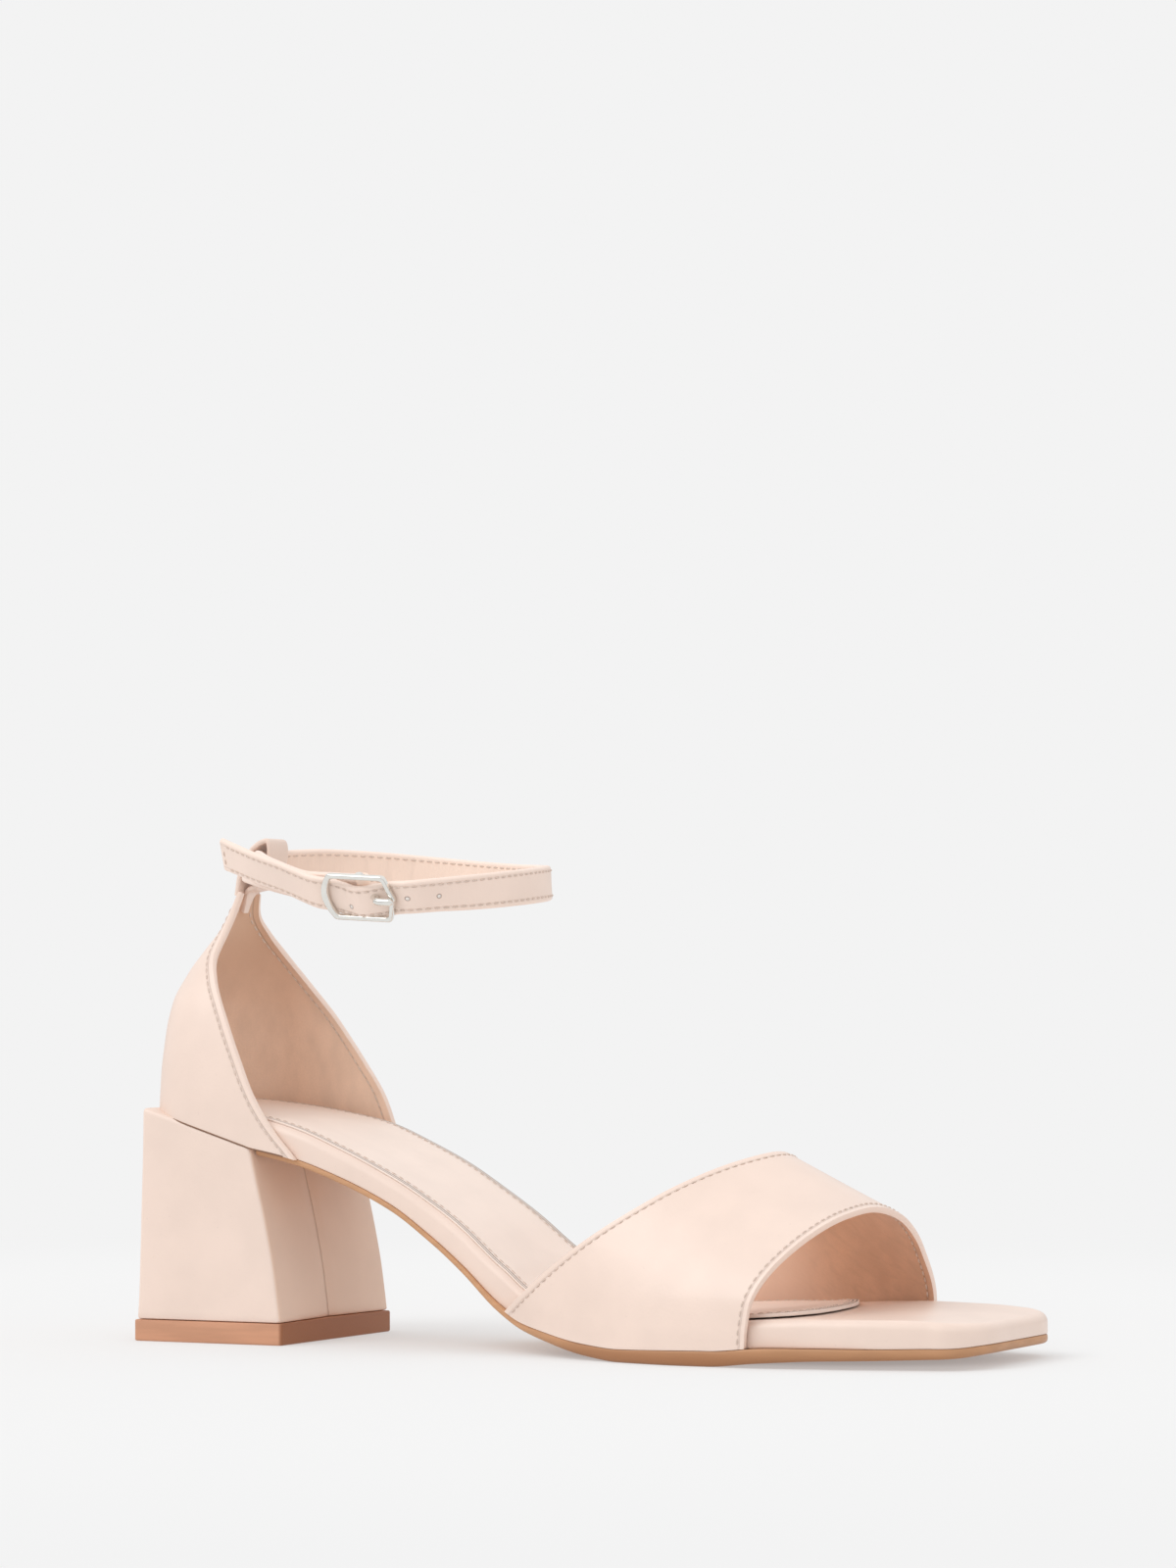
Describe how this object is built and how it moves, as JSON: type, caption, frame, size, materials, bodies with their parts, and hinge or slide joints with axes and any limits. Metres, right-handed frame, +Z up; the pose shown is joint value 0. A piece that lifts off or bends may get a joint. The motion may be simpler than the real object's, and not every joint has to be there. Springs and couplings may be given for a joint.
{
  "type": "block heel sandal",
  "caption": "Open-toe block heel sandal with a wide toe band, closed heel counter and buckled ankle strap.",
  "frame": {"origin": "centre of the heel tip's flat floor face", "axes": "+X forward to the toe, +Y to the medial side of this right shoe, +Z up from the floor"},
  "size_m": [0.2412, 0.0822, 0.1315],
  "materials": {
    "upper_leather": "smooth, soft sheen",
    "wrap_leather": "smooth, soft sheen",
    "sock_leather": "smooth, matt",
    "sole_rubber": "satin",
    "tip_rubber": "matt",
    "buckle_metal": "polished"
  },
  "bodies": {
    "root": {"outsole": "sole_rubber", "heel_block": "wrap_leather", "heel_tip": "tip_rubber", "footbed": "wrap_leather", "insole_sock": "sock_leather", "heel_counter": "upper_leather", "strap_loop": "upper_leather", "vamp_band": "upper_leather", "ankle_strap": "upper_leather", "buckle_frame": "buckle_metal", "buckle_prong": "buckle_metal"}
  },
  "joints": []
}
